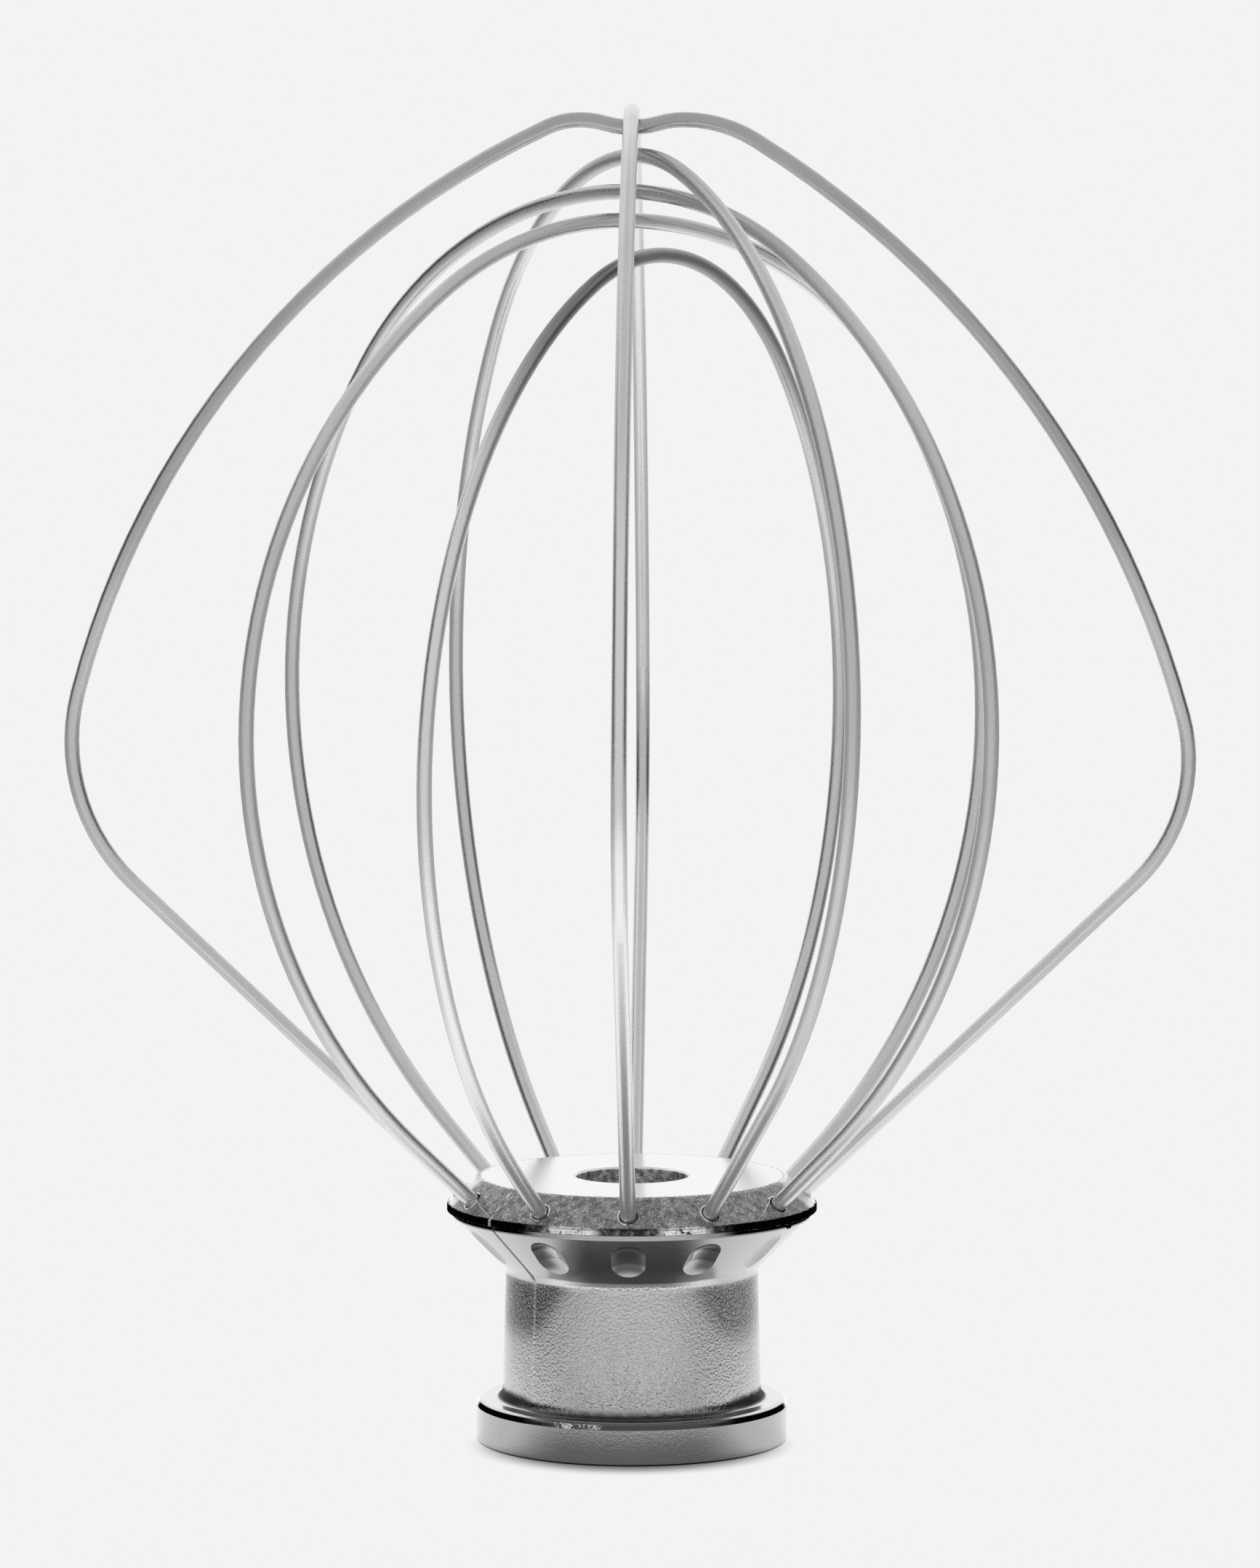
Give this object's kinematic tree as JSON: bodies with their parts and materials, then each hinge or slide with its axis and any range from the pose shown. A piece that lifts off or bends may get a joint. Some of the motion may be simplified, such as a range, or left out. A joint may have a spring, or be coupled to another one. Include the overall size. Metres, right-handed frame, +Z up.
{
  "type": "stand mixer wire whisk",
  "caption": "Wire whisk for a stand mixer: bent wire loops staked into a die-cast hub with a drive bore and a bayonet slot.",
  "frame": {"origin": "centre of the drive bore at the flange's flat base, which the whisk stands on", "axes": "+Z up along the bore from the base to the crowns of the loops, +X along the second wide loop, +Y along the top wide loop, -Y to the viewer"},
  "size_m": [0.131, 0.1308, 0.1548],
  "materials": {
    "casting": "as cast, slightly pebbled",
    "wire": "drawn stainless wire"
  },
  "bodies": {
    "root": {"hub": "casting", "wide_loop_1": "wire", "wide_loop_2": "wire", "oval_loop_1": "wire", "oval_loop_2": "wire", "oval_loop_3": "wire", "oval_loop_4": "wire"}
  },
  "joints": []
}
